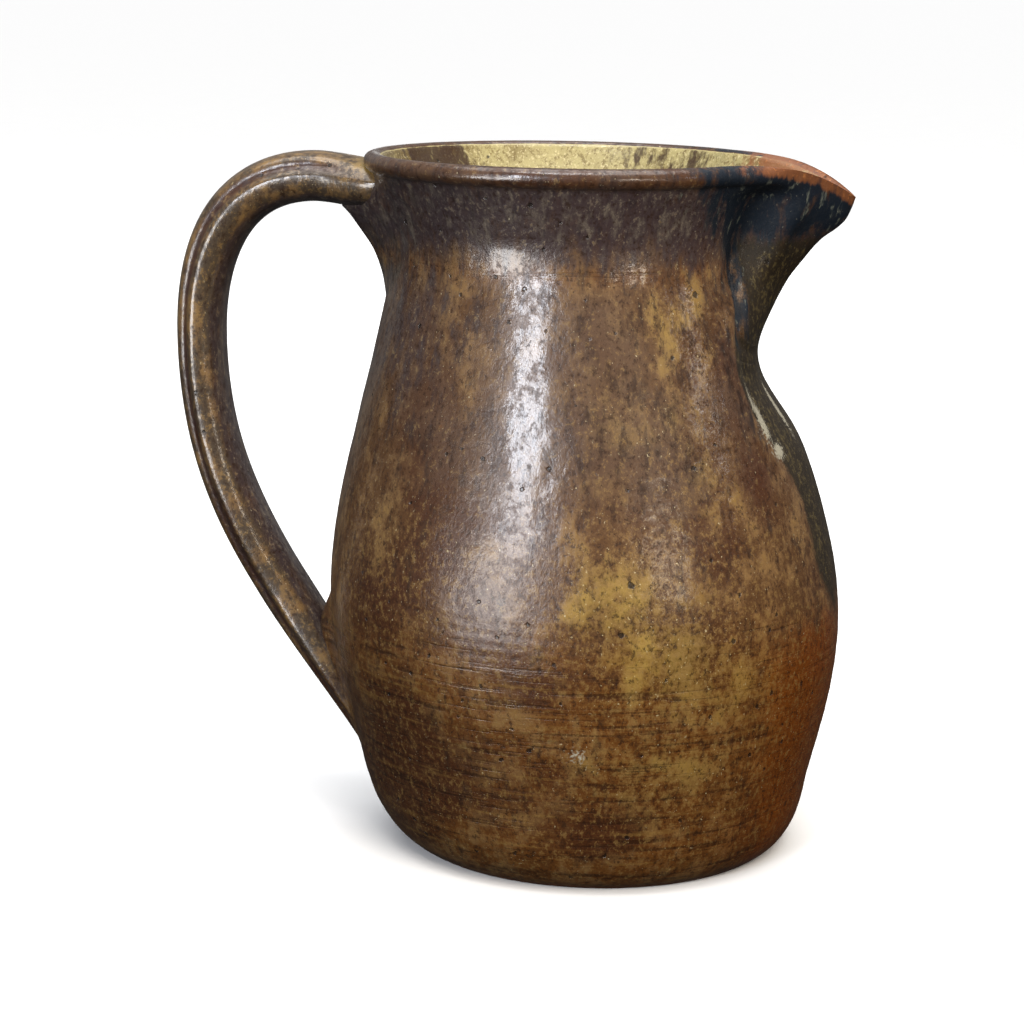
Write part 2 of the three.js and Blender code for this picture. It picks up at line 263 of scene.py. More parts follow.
# %% Move the points as the potter's hands did
WIDE_RING, FINE_RING = 8.3, 3.4  # the throwing rings' spacing
RING_DEPTH, LOW_RING_DEPTH = 0.01, 0.02  # everywhere, and added below the belly
DENT_WIDTH, DENT_HEIGHT, DENT_DEPTH = 12, 17, 0.22
OUT_OF_ROUND = 0.35
SAG_HEIGHT, SAG_SPREAD = 20, 13
SPOUT_PUSH = 24.8
SPOUT_LIP_DROP = 11
SPOUT_NOSE = 0.15  # how blunt the beak's point is
LIP_RADIUS, LIP_HEIGHT, LIP_FLARE = 57.2, 200, 0.34  # the beak has no roll: its wall runs straight to the lip
THROAT_FILL = 1.3  # the neck's crease is filled by this much under the beak
THROAT_DENT = 7.3
THROAT_HEIGHT = RIM_HEIGHT - 65
THROAT_SPREAD = 10.5
TROUGH_HEIGHTS = (122, 133, 142, 155, 168)
TROUGH_HALF_ANGLES = (22, 29.5, 33.5, 36.5, 36)


def throwing_rings(around, height):
    """The spiral that the fingers leave as the wheel turns."""
    depth = RING_DEPTH + LOW_RING_DEPTH * (1 - smooth(height, 60, 110))
    turns = around / (2 * math.pi)
    wide = depth * np.sin(2 * math.pi * (height / WIDE_RING + turns))
    fine = depth * np.sin(2 * math.pi * (height / FINE_RING + 2 * turns) + 1.3 * np.sin(height / 6))
    return (wide + fine) * smooth(height, 2, 9)


def finger_dents(points):
    """Soft dents about a fingertip wide, a little taller than wide."""
    dents = [noise.noise((x / DENT_WIDTH, y / DENT_WIDTH, z / DENT_HEIGHT)) for x, y, z in points]
    return DENT_DEPTH * np.array(dents)


def draw_out(points):
    """The spun points after throwing, leaning and pulling the beak."""
    x, y, z = points.T
    radius, around = np.hypot(x, y), np.arctan2(y, x)
    outside = outside_share(points)
    radius = radius + outside * (throwing_rings(around, z) + finger_dents(points) * smooth(z, 4, 20))
    radius = radius + OUT_OF_ROUND * np.sin(2 * around + z / 40) * smooth(z, 5, 60)
    radius = radius + outside * (0.2 - np.cos(around)) * bell(z, SAG_HEIGHT, SAG_SPREAD)
    share = np.minimum(1, np.abs(around) / seam_angle(z))
    beyond = (np.hypot(share, SPOUT_NOSE) - SPOUT_NOSE) / (math.hypot(1, SPOUT_NOSE) - SPOUT_NOSE)
    keel = (1 - beyond) ** 1.4
    lip = outside * smooth(keel, 0.08, 0.45)
    radius = radius + lip * smooth(z, 198, 204) * (LIP_RADIUS + LIP_FLARE * (z - LIP_HEIGHT) - radius)
    radius = radius + THROAT_FILL * lip * bell(z, NECK_HEIGHT + 1, 7)
    trough_angle = np.radians(np.interp(z, TROUGH_HEIGHTS, TROUGH_HALF_ANGLES))
    trough = 1 - smooth(np.abs(around) / trough_angle, 0.72, 1.02)
    dent = THROAT_DENT * np.exp(-0.5 * ((z - THROAT_HEIGHT) / THROAT_SPREAD) ** 2)
    push = SPOUT_PUSH * keel * smooth(z, RIM_HEIGHT - 57, RIM_HEIGHT - 8)
    moved_x = lean_at(z) + radius * np.cos(around) + push - dent * (0.5 * keel + 0.5 * trough)
    moved_z = z - keel**2.1 * smooth(z, RIM_HEIGHT - 30, RIM_HEIGHT) * SPOUT_LIP_DROP
    return np.column_stack((moved_x, radius * np.sin(around), moved_z))


def mesh_points(mesh, what="co"):
    """A mesh's points, or its normals, as rows of numbers."""
    values = np.empty(3 * len(mesh.vertices))
    mesh.vertices.foreach_get(what, values)
    return values.reshape(-1, 3)


def move_points(mesh, places):
    """Set every point of a mesh to its new place."""
    mesh.vertices.foreach_set("co", places.ravel())
    mesh.update()


pot_mesh = bpy.data.meshes.new("pot")
pot.to_mesh(pot_mesh)
pot.free()
round_points = mesh_points(pot_mesh)
move_points(pot_mesh, draw_out(round_points))
print("beak reaches", round(mesh_points(pot_mesh)[:, 0].max(), 1), "mm")

# %% [markdown]
# ## Folds beside the beak
#
# Where the beak was set into the collar the clay was pressed down with a finger: a valley runs along the
# seam, with a raised fold on the body's side and a bead on the beak's side. Higher up, the cheek of the
# beak is pressed hollow, through the whole wall, and a ridge runs along it to the lip. At the handle's
# side, fingers have wiped the joint's clay out over the collar. These are moves along the surface's own
# normals, so they stay true on any slope.

# %% Press the seam and the cheeks
NOTCH_CORNER = 11
SEAM_SECTION = [
    # how far it stands out, its distance from the seam, how far it spreads
    (1.0, 0.7, 1.6),  # fold on the body
    (-3.2, 3.0, 1.0),  # valley
    (0.7, 4.9, 0.9),  # bead on the beak
]
CHEEK_HOLLOW = 4.6
CHEEK_RIDGE = 2.5
WIPE_DEPTH = 0.3


def seam_distance(points):
    """How far inside the notch a point lies, seen from the side: negative on the body."""
    across = points[:, 0] - seam_at(points[:, 2])
    up = points[:, 2] - NOTCH_HEIGHT
    in_corner = NOTCH_CORNER - np.hypot(NOTCH_CORNER - across, NOTCH_CORNER - up)
    rounded = (across < NOTCH_CORNER) & (up < NOTCH_CORNER)
    return np.where(rounded, in_corner, np.minimum(across, up))


def seam_relief(points, start):
    """How far each point moves out along its normal, from where it is and where it was spun."""
    _, y, z = points.T
    around = np.abs(np.arctan2(start[:, 1], start[:, 0]))
    outside = outside_share(start)
    near = (around < FRONT_HALF_ANGLE) * smooth(np.abs(y), 7, 18)
    from_seam = seam_distance(points)
    fold = sum(height * bell(from_seam, middle, spread) for height, middle, spread in SEAM_SECTION)
    fold = fold * (0.06 + 0.94 * (1 - smooth(z, 170, 192)))
    fold = fold * (0.1 + 0.9 * smooth(z, NOTCH_HEIGHT + 4, NOTCH_HEIGHT + 22))
    share = around / seam_angle(start[:, 2])
    valley = np.interp(start[:, 2], (180, 211), (0.85, 0.64))
    hollow = CHEEK_HOLLOW * bell(share, valley, 0.17) * smooth(z, 172, 188) * (1 - smooth(z, 203, 211))
    ridge = CHEEK_RIDGE * bell(share, 0.44, 0.1) * bell(z, 195, 9)
    return near * (outside * (fold + ridge) - hollow * (2 * outside - 1)) * (1 - smooth(z, 206, 212))


def wipe_relief(points, start):
    """Finger marks that fan out from the strap's root over the collar."""
    aside = np.abs(points[:, 1])
    down = RIM_HEIGHT + 7 - points[:, 2]
    fan, reach = np.arctan2(down, aside), np.hypot(aside, down)
    marks = np.sin(46 * fan + 2 * np.sin(9 * fan)) * smooth(reach, 14, 22) * (1 - smooth(reach, 36, 50))
    handle_side = (points[:, 0] < 0) * (1 - smooth(points[:, 2], 204, 209))
    return WIPE_DEPTH * marks * outside_share(start) * handle_side


pulled = mesh_points(pot_mesh)
relief = seam_relief(pulled, round_points) + wipe_relief(pulled, round_points)
move_points(pot_mesh, pulled + mesh_points(pot_mesh, "normal") * relief[:, None])
print("relief from", round(relief.min(), 2), "to", round(relief.max(), 2), "mm")

# %% [markdown]
# ## Cutting body, coil and beak apart
#
# On the bench these are three pieces of clay, so here they are three meshes. A block with the notch's
# outline is the wire that cuts them: what lies outside it is the body, a strip just inside it is the coil,
# and the rest is the beak. The cutter is a few points extruded to both sides, with one corner bevelled
# round.

# %% Cut with the notch's outline
COIL_WIDTH = 3.5


def notch_block(inset):
    """The notch as a block across the pot, drawn in by an inset."""
    top, bottom = RIM_HEIGHT + 10, NOTCH_HEIGHT + inset
    back, front = seam_at(bottom) + inset, RIM_RADIUS + 40
    block = bmesh.new()
    outline = [(seam_at(top) + inset, top), (back, bottom), (front, bottom), (front, top)]
    corners = [block.verts.new((x, -BELLY_RADIUS, z)) for x, z in outline]
    face = block.faces.new(corners)
    sides = bmesh.ops.extrude_face_region(block, geom=[face])
    moved = [item for item in sides["geom"] if isinstance(item, bmesh.types.BMVert)]
    bmesh.ops.translate(block, verts=moved, vec=(0, 2 * BELLY_RADIUS, 0))
    low = {vert for vert in block.verts if abs(vert.co.x - back) + abs(vert.co.z - bottom) < WELD}
    bmesh.ops.bevel(
        block, geom=[edge for edge in block.edges if low.issuperset(edge.verts)], offset=NOTCH_CORNER,
        offset_type="OFFSET", affect="EDGES", segments=8, profile=0.5, material=-1,
    )
    bmesh.ops.recalc_face_normals(block, faces=block.faces)
    mesh = bpy.data.meshes.new("notch")
    block.to_mesh(mesh)
    block.free()
    return mesh


def cut(mesh, cutter_mesh, operation):
    """A new mesh: the first one cut by, or cut to, the second."""
    piece = bpy.data.objects.new("piece", mesh)
    cutter = bpy.data.objects.new("cutter", cutter_mesh)
    for item in (piece, cutter):
        scene.collection.objects.link(item)
    boolean = piece.modifiers.new("cut", "BOOLEAN")
    boolean.object = cutter
    boolean.operation = operation
    boolean.solver = "MANIFOLD"
    ready = piece.evaluated_get(bpy.context.evaluated_depsgraph_get())
    result = bpy.data.meshes.new_from_object(ready)
    for item in (piece, cutter):
        bpy.data.objects.remove(item)
    return result


body_mesh = cut(pot_mesh, notch_block(0), "DIFFERENCE")
notch_mesh = cut(pot_mesh, notch_block(0), "INTERSECT")
coil_mesh = cut(notch_mesh, notch_block(COIL_WIDTH), "DIFFERENCE")
spout_mesh = cut(notch_mesh, notch_block(COIL_WIDTH), "INTERSECT")
for label, mesh in (("body", body_mesh), ("coil", coil_mesh), ("beak", spout_mesh)):
    print(label, len(mesh.polygons), "faces")

# %% [markdown]
# ## The pulled strap handle
#
# A handle is pulled from a carrot of wet clay: an oval strap, with a groove down each shoulder where thumb
# and finger ran, and a soft spine between them. It leaves the collar just under the rim, arches over, falls
# in one long curve and is pressed on to the lower belly, where it spreads. A tall cylinder, cut into rings,
# has the right mesh: each of its points then moves to its place on the strap, found from how far along it
# lies and at what angle round it.

# %% Draw the strap's line
STRAP_WIDTH = 25
STRAP_THICKNESS = 14.5
FINGER_GAP = 48


def beside_wall(height, stand_off):
    """A place on the handle's side, a stand-off outside the wall, as (x, height)."""
    return (lean_at(height) - wall_radius(height) - stand_off, height)


root = beside_wall(RIM_HEIGHT - 10.5, -2.4)
arch = beside_wall(RIM_HEIGHT - 8.6, 18)
grip = beside_wall(RIM_HEIGHT - 57, FINGER_GAP + STRAP_THICKNESS / 2)
tail = beside_wall(31, -3)
strap_line = [
    Vector((root[0], 0, root[1])),
    *curve(root, (-8, -0.3), (8, -0.5), arch, 30),
    *curve(arch, (-25.5, 0), (0, 27), grip, 90),
    *curve(grip, (0, -53), (-28, 41), tail, 120),
]
line = np.array([(point.x, point.z) for point in strap_line])
travelled = np.concatenate(([0], np.cumsum(np.hypot(*np.diff(line, axis=0).T))))
strap_length = travelled[-1]
print("strap", round(strap_length), "mm long")

# %% Bend a cylinder along it
STRAP_RINGS = 190
STRAP_SIDES = 84
STRAP_GROOVE = 1.7
GROOVE_ANGLE, GROOVE_SPREAD = 64, 15  # degrees round the section, from the spine
EDGE_BEAD = 0.5
STEP = 2.0  # the strap's direction is taken this far ahead and behind


def on_line(along):
    """Where the strap's line is after some way along it, as rows of x and height."""
    return np.column_stack([np.interp(along, travelled, line[:, axis]) for axis in (0, 1)])


def from_spine(angle):
    """Degrees round the strap's section from its spine, to either side."""
    return np.degrees(np.arctan2(np.abs(np.cos(angle)), np.sin(angle)))


def strap_place(share, angle):
    """Where a point of the cylinder goes: share of the strap's length, angle round its section."""
    along = share * strap_length
    left = strap_length - along
    direction = on_line(along + STEP) - on_line(along - STEP)
    direction /= np.hypot(*direction.T)[:, None]
    outward = np.column_stack((direction[:, 1], -direction[:, 0]))
    wide = 1 + 0.4 * (1 - smooth(along, 0, 20)) + 0.3 * (1 - smooth(left, 12, 62))
    wide = wide + 0.015 * np.sin(along / 19) + 0.01 * np.sin(along / 7.3)
    thick = 1 - 0.22 * (1 - smooth(left, 5, 55)) + 0.02 * np.sin(along / 23 + 1) + 0.09 * bell(along, 50, 35)
    cosine, sine = np.cos(angle), np.sin(angle)
    across = 0.5 * STRAP_WIDTH * wide * np.sign(cosine) * np.abs(cosine) ** 0.9
    depth = 0.5 * STRAP_THICKNESS * thick * np.sign(sine) * np.abs(sine) ** 0.8
    turned = from_spine(angle)
    thumb = bell(turned, GROOVE_ANGLE, GROOVE_SPREAD) * smooth(along, 6, 24)
    pressed = (EDGE_BEAD * bell(turned, 84, 9) - STRAP_GROOVE * thumb) / np.hypot(across, depth)
    bowed = 0.8 * smooth(along, 20, 60) - 1.9 * (1 - smooth(left, 30, 110))
    across, depth = across * (1 + pressed), depth * (1 + pressed) + bowed
    flat = on_line(along) + outward * depth[:, None]
    return np.column_stack((flat[:, 0], across + 0.5 * np.sin(along / 45), flat[:, 1]))


strap = bmesh.new()
bmesh.ops.create_cone(strap, cap_ends=True, segments=STRAP_SIDES, radius1=1, radius2=1, depth=1)
upright = [edge for edge in strap.edges if abs(edge.verts[0].co.z - edge.verts[1].co.z) > 0.5]
bmesh.ops.subdivide_edges(strap, edges=upright, cuts=STRAP_RINGS, use_grid_fill=True)
handle_mesh = bpy.data.meshes.new("handle")
strap.to_mesh(handle_mesh)
strap.free()
cylinder = mesh_points(handle_mesh)
handle_share = cylinder[:, 2] + 0.5
handle_angle = np.arctan2(cylinder[:, 1], cylinder[:, 0])
move_points(handle_mesh, strap_place(handle_share, handle_angle))
print("strap of", len(handle_mesh.polygons), "faces")

# %% [markdown]
# ## Clay wiped into the joints
#
# A strap stuck on with slip alone would crack off, so the potter wipes a wad into each corner: a long one
# under the arch that fans out down the neck, and a low one round the tail. Each is a patch of the body's
# own outside, swollen out from the wall and then given a thickness, so that its edge runs out to nothing on
# the body.

# %% Swell two patches of the wall
EDGE_DEPTH = 0.35  # the wads' edges lie this far under the body's skin
WAD_THICKNESS = 3
UPPER_REACH = 14.5
LOWER_REACH = 5.5


def upper_swell(points):
    """Rises up the collar to the strap's underside, and fans out to its sides."""
    _, y, z = points.T
    up = np.clip((z - 169) / 28.5, 0, 1)
    aside = np.clip((np.abs(y) - 5) / 24, 0, 1)
    return UPPER_REACH * up**1.25 * (1 - smooth(z, 201, 209)) * (1 - aside) ** 1.7


def lower_swell(points):
    """Fills the corner above the strap's tail."""
    _, y, z = points.T
    return LOWER_REACH * smooth(z, 24, 44) * (1 - smooth(z, 63, 80)) * (1 - smooth(np.abs(y), 7, 22))


def wall_patch(name, low, high, half_width, swell):
    """A closed patch of the body's outside between two heights on the handle's side, swollen out."""
    patch = bmesh.new()
    patch.from_mesh(body_mesh)
    others = []
    for face in patch.faces:
        centre = face.calc_center_median()
        handle_side = centre.x < 0 and face.normal.x < -0.3 and abs(centre.y) < half_width
        if not (handle_side and low < centre.z < high):
            others.append(face)
    bmesh.ops.delete(patch, geom=others, context="FACES")
    for vert in patch.verts:
        vert.co.x -= swell(np.array([vert.co]))[0] - EDGE_DEPTH
    bmesh.ops.solidify(patch, geom=patch.faces[:], thickness=WAD_THICKNESS)
    bmesh.ops.recalc_face_normals(patch, faces=patch.faces)
    mesh = bpy.data.meshes.new(name)
    patch.to_mesh(mesh)
    patch.free()
    print(name, len(mesh.polygons), "faces")
    return mesh


upper_mesh = wall_patch("upper wad", 166, 209, 30, upper_swell)
lower_mesh = wall_patch("lower wad", 20, 80, 25, lower_swell)

# %% [markdown]
# ## Where the kiln marked the pot, and where shade and sheen are painted
#
# Ash, salt and iron don't settle evenly. The collar burnt to a purple brown, the beak and the trail under
# it to a blue black, the belly caught a patch of olive ash, the lip stayed bare, and pale drips ran down
# the throat. Two marks stand for light instead: the blue black deepens towards the fold beside the beak as
# painted shade of the seam's valley, and the upper body is greyed as a painted sheen. These marks follow
# the surface, so each is worked out for every point of a mesh from its height and the angle round the
# pot, and kept as an attribute that the glaze reads. Fine grain comes later, from noise in the glaze
# itself. The pieces were cut after the beak was pulled, so a search tree finds the pot's nearest point,
# which still knows whether it is inside and how high it was thrown.

# %% Where ash, iron and slip settled
# Each patch: angle round the pot, height, half width in degrees, half height, strength.
OLIVE_PATCHES = [
    (-78, 92, 13, 15, 1.0),
    (-68, 76, 17, 16, 1.0),
    (-52, 66, 16, 14, 0.7),
    (-66, 40, 22, 16, 0.55),
    (-56, 168, 20, 20, 0.5),
    (-60, 130, 14, 24, 0.6),
    (-77, 140, 12, 30, 0.45),
    (-132, 96, 14, 24, 0.2),
    (60, 95, 34, 30, 0.9),
    (130, 80, 26, 30, 0.7),
]
RED_PATCHES = [
    (-118, 38, 26, 20, 0.7),
    (-130, 120, 20, 50, 0.75),
    (-97, 64, 14, 10, 0.6),
    (-40, 158, 6, 26, 0.9),
    (-37, 124, 9, 20, 1.0),
    (-50, 108, 12, 14, 0.5),
    (-84, 18, 30, 9, 0.7),
    (30, 120, 10, 30, 0.7),
    (110, 40, 40, 24, 0.8),
]
PALE_DRIPS = [
    (-31, 146, 1.8, 5, 0.9),
    (-29, 140, 2.6, 6, 1.1),
    (-9, 141, 2.2, 8, 1.0),
    (-25.7, 130.5, 3.4, 2.4, 1.0),
    (-87.5, 46.5, 2.4, 2.4, 0.62),
    (29, 141, 2.0, 8, 0.9),
]
SMOKED_NECK = [
    (-142, 168, 30, 34, 0.6),
    (150, 168, 30, 30, 0.5),
]
SCORCHED_LINING = [
    (146, 205, 20, 30, 1.0),
    (52, 208, 12, 12, 0.7),
    (66, 205, 18, 30, 0.6),
]
# The soot's edge beside the beak: half its width in degrees at some heights.
SOOT_HEIGHTS = (64, 80, 95, 115, 133, 142, 155, 168, 186, 215)
SOOT_HALF_ANGLES = (5, 15, 22, 22, 28, 33, 36, 34, 28, 40)

inside = np.hypot(round_points[:, 0], round_points[:, 1]) < wall_radius(round_points[:, 2]) - WALL / 2
inside &= round_points[:, 2] > FLOOR / 2
pot_tree = KDTree(len(round_points))
for index, place in enumerate(mesh_points(pot_mesh)):
    pot_tree.insert(place, index)
pot_tree.balance()
print("lining:", inside.sum(), "of", len(inside), "points")

# %% Marks of the pot and of the strap
POT_ONLY_MARKS = ("soot_and_fold_shade", "trail", "seam", "bare", "pale", "orange_below_beak", "lines", "runs", "lining", "scorch")


def blots(around, height, patches):
    """The strongest of some soft oval patches at each point."""
    total = np.zeros_like(height)
    for angle, middle, half_width, half_height, strength in patches:
        turned = (around - angle + 180) % 360 - 180
        patch = strength * np.exp(-((turned / half_width) ** 2) - ((height - middle) / half_height) ** 2)
        total = np.maximum(total, patch)
    return total


def pot_marks(mesh):
    """Kiln marks, and painted shade and sheen, at each point of the pot, as named shares, most of them from 0
    to 1.
    """
    points = mesh_points(mesh)
    x, y, z = points.T
    nearest = [pot_tree.find(point)[1] for point in points]
    lining = inside[nearest].astype(float)
    thrown = round_points[nearest, 2]  # how high the point was before the beak was pulled
    around = np.degrees(np.arctan2(y, x - lean_at(z)))
    front = np.abs(around)
    fold = np.interp(z, SOOT_HEIGHTS, SOOT_HALF_ANGLES)
    ragged = 1.5 + 5 * (1 - smooth(z, 115, 140))
    valley = 1 - smooth(front, fold - ragged, fold + 1.5)
    # Painted shade: the blue black is 0.7 in the beak's middle and full at the fold, for the shade in the
    # seam's valley.
    valley = valley * (0.7 + 0.3 * smooth(front, 0.4 * fold, 0.75 * fold))
    cheek = smooth(x, -6 + 0.9 * (RIM_HEIGHT - z), 46) * smooth(z, 176, 198)
    beak = 0.9 * smooth(seam_distance(points), 1, 6)
    soot_and_fold_shade = np.maximum(np.maximum(valley, cheek), beak) * smooth(z, 62, 100) * (1 - lining)
    keel = (1 - smooth(front, 0.58 * fold, 0.84 * fold)) * (1 - smooth(z, 184, 198))
    trail = soot_and_fold_shade * np.maximum(keel, 1 - smooth(z, 150, 176))
    lip = smooth(thrown, RIM_HEIGHT - 5 - 9 * lining, RIM_HEIGHT - 1.5 - 5 * lining) * smooth(x, 26, 54)
    rim = smooth(thrown, RIM_HEIGHT - 7, RIM_HEIGHT - 4)
    smoked = np.maximum(smooth(z, NECK_HEIGHT - 12, NECK_HEIGHT + 12), blots(around, z, SMOKED_NECK))
    dark = smoked * (1 - 0.7 * rim)
    olive = blots(around, z, OLIVE_PATCHES)
    return {
        "olive": olive,
        "dark": dark,
        "soot_and_fold_shade": soot_and_fold_shade - 0.7 * trail,
        "trail": trail,
        "seam": bell(front - fold, 3, 4) * smooth(z, 118, 140) * (1 - smooth(z, 192, 206)),
        "bare": np.maximum(lip, 0.9 * (1 - smooth(z, 0.6, 2.4))),
        "pale": blots(around, z, PALE_DRIPS),
        # An orange tone low on the body, fading out between 66 and 92 mm, centred 18 degrees round from the
        # beak towards the camera.
        "orange_below_beak": bell(around, -18, 26) * (1 - smooth(z, 66, 92)),
        "red": np.maximum(blots(around, z, RED_PATCHES), rim),
        "lining": lining,
        "scorch": blots(around, z, SCORCHED_LINING) * lining,
        "specks": olive - 1.2 * np.maximum(dark, 0.5 * smooth(z, 100, 125)),
        # The upper body: it places dark runs and stains, and the painted grey sheen too.
        "runs": smooth(z, 95, 135),
        "gloss": 0.3 + 0.7 * smooth(z, 92, 140),
        "lines": np.maximum(1 - smooth(z, 60, 115), 0.8 * bell(z, NECK_HEIGHT - 2, 5)),
    }


def strap_marks(_):
    """Marks by the place on the strap: ridges caught ash, grooves stayed thin and red, the underside dark."""
    out = np.sin(handle_angle)
    near_root = 1 - smooth(handle_share, 0.02, 0.1)
    red = bell(from_spine(handle_angle), GROOVE_ANGLE, GROOVE_SPREAD) * (1 - near_root)
    dark = 0.9 * smooth(-out, 0.3, 0.8) + 0.5 * red
    olive = np.maximum(0.2 * smooth(out, -0.6, 0.1) * (1 - red), near_root * smooth(out, 0.2, 0.9))
    marks = dict.fromkeys(POT_ONLY_MARKS, np.zeros(len(out)))
    gloss = np.ones(len(out))
    marks.update({"red": red, "olive": olive, "dark": dark, "specks": olive - dark, "gloss": gloss})
    return marks


# %% [markdown]
# ## The glaze
#
# The body is iron-bearing stoneware under a salt and ash glaze. The salt gives a fine orange-peel gloss,
# the iron gives brown that breaks to red where it is thin, and wood ash settles as pale olive specks. One
# function builds the glaze for all pieces, reading Object coordinates, so that the pattern runs on from
# piece to piece without a break. The glaze is a stack of layers, and each layer is one row of a table: its
# colour, the pattern that tears its edge, the kiln mark that says where it lies, and how fast it comes in.
# The glass on top is a coat, patchy where the salt didn't take, and thinner on the lower belly.

# %% One small function for nodes


def linear(hex_colour):
    """An sRGB hex colour as linear red, green, blue and alpha."""
    values = [int(hex_colour[i : i + 2], 16) / 255 for i in (1, 3, 5)]
    return [v / 12.92 if v <= 0.04045 else ((v + 0.055) / 1.055) ** 2.4 for v in values] + [1]


def add(tree, kind, settings, links):
    """Add a node, set its properties, and fill its inputs with values or with other nodes' outputs."""
    node = tree.nodes.new(kind)
    for name, value in settings.items():
        setattr(node, name, value)
    for name, value in links.items():
        if isinstance(value, bpy.types.NodeSocket):
            tree.links.new(value, node.inputs[name])
        else:
            node.inputs[name].default_value = value
    return node


MATH = "ShaderNodeMath"
RAMP = "ShaderNodeMapRange"
MIX = "ShaderNodeMix"
MIX_A, MIX_B, MIX_COLOUR = 6, 7, 2  # the colour sockets of a Mix node
MULTIPLY_ADD, MULTIPLY, MAXIMUM = ({"operation": name} for name in ("MULTIPLY_ADD", "MULTIPLY", "MAXIMUM"))
SUBTRACT, ADD = ({"operation": name} for name in ("SUBTRACT", "ADD"))
S_SHAPED = {"interpolation_type": "SMOOTHSTEP"}
IN_COLOUR = {"data_type": "RGBA"}
print("node kinds:", MATH, RAMP, MIX)

# %% Patterns and layers of the glaze
PATTERNS = {
    # name: cell size in mm, stretch along x, y and z (below 1 is longer), detail, roughness
    "dents": (13, (1, 1, 0.6), 2, 0.5),
    "clouds": (40, (1, 1, 1), 3, 0.5),
    "mottle": (9, (1, 1, 0.8), 6, 0.7),
    "flecks": (1.8, (1, 1, 0.8), 3, 0.8),
    "grain": (0.75, (1, 1, 0.8), 2, 0.5),
    "runs": (2.6, (1, 1, 0.09), 4, 0.6),
    "smoke": (4, (1, 1, 0.3), 5, 0.7),
    "lines": (1.8, (0.05, 0.05, 1), 3, 0.6),
}
GLAZE_LAYERS = [
    # name, colour, pattern, kiln mark, how much the mark lifts the pattern, start, full, strength
    ("amber foot", "#6a3c0c", "mottle", "lines", 0.4, 0.6, 1.0, 0.8),
    ("tan mottle", "#7d5f3a", "mottle", "olive", 0, 0.45, 0.62, 0.8),
    ("olive ash", "#9c803c", "mottle", "olive", 0.3, 0.57, 0.92, 0.85),
    ("thin and red", "#3f2110", "clouds", "red", 0.3, 0.5, 0.74, 0.85),
    # Painted sheen: a grey layer over the upper body, standing for the glaze's soft reflection of the room.
    ("painted grey sheen", "#5e4b3a", "clouds", "runs", 0.3, 0.68, 0.95, 0.45),
    ("dark stains", "#2f1d10", "smoke", "runs", 0.04, 0.53, 0.7, 0.72),
    ("dark runs", "#2b1d17", "runs", "runs", 0.3, 0.83, 1.02, 0.65),
    ("light rings", "#8a6a36", "lines", "lines", -0.3, 0.14, 0.0, 0.35),
    ("ring lines", "#241208", "lines", "lines", 0.3, 0.8, 0.97, 0.62),
    ("burnt collar", "#3a3033", "smoke", "dark", 0.6, 0.6, 1.1, 0.9),
    ("collar smudges", "#6f6456", "smoke", "dark", 0.2, 0.68, 0.92, 0.8),
    ("collar dust", "#85796a", "flecks", "dark", 0.1, 0.64, 0.78, 0.5),
    ("collar stains", "#241c1d", "runs", "dark", 0.3, 0.82, 1.05, 0.6),
    ("orange side", "#6c3600", "mottle", "orange_below_beak", 0.6, 0.58, 1.0, 0.95),
    ("dark grain", "#2a190d", "flecks", "runs", 0, 0.47, 0.34, 0.72),
    ("salt grain", "#8a6c3c", "flecks", "specks", 0.08, 0.51, 0.69, 0.6),
    ("bright specks", "#c4ae7a", "grain", "specks", 0.04, 0.68, 0.8, 0.7),
    ("fold streaks", "#22140c", "runs", "seam", 0.35, 0.74, 0.98, 0.85),
    ("scorched olive", "#211c12", "flecks", "trail", 0.8, 0.6, 0.95, 0.92),
    ("trail ash", "#5c5030", "flecks", "trail", 0.2, 0.67, 0.84, 0.75),
    # The soot also darkens the beak's fold: there it is painted shade of the seam's valley.
    ("soot_and_fold_shade", "#0b1925", "smoke", "soot_and_fold_shade", 0.7, 0.92, 1.15, 0.93),
    ("ash wisps", "#7f8375", "runs", "soot_and_fold_shade", 0.2, 0.77, 0.93, 0.7),
    ("pale drips", "#a9a492", "grain", "pale", 0.6, 0.66, 0.95, 0.9),
    ("lining", "#b0a473", "mottle", "lining", 1.0, 0.9, 1.1, 0.9),
    ("lining shade", "#5f4a22", "clouds", "lining", 0.5, 0.94, 1.07, 0.85),
    ("lining flecks", "#6b5932", "flecks", "lining", 0.5, 0.98, 1.14, 0.75),
    ("lining grain", "#d6c99c", "grain", "lining", 0.5, 1.04, 1.2, 0.6),
    ("scorched lining", "#38241b", "runs", "scorch", 0.6, 0.72, 0.95, 0.9),
    ("bare lip", "#7a4a2b", "runs", "bare", 0.6, 0.75, 1.1, 0.9),
    ("lip grain", "#b0713f", "flecks", "bare", 0.3, 0.84, 0.98, 0.6),
]


def glaze_patterns(tree, place):
    """The output of one noise texture for each row of the pattern table."""
    outputs = {}
    for label, (size, stretch, detail, roughness) in PATTERNS.items():
        moved = {"Vector": place, "Scale": stretch, "Location": (size, 0, 0)}
        mapped = add(tree, "ShaderNodeMapping", {}, moved).outputs[0]
        look = {"Vector": mapped, "Scale": 1 / (size * MM), "Detail": detail, "Roughness": roughness}
        outputs[label] = add(tree, "ShaderNodeTexNoise", {}, look).outputs["Fac"]
    return outputs


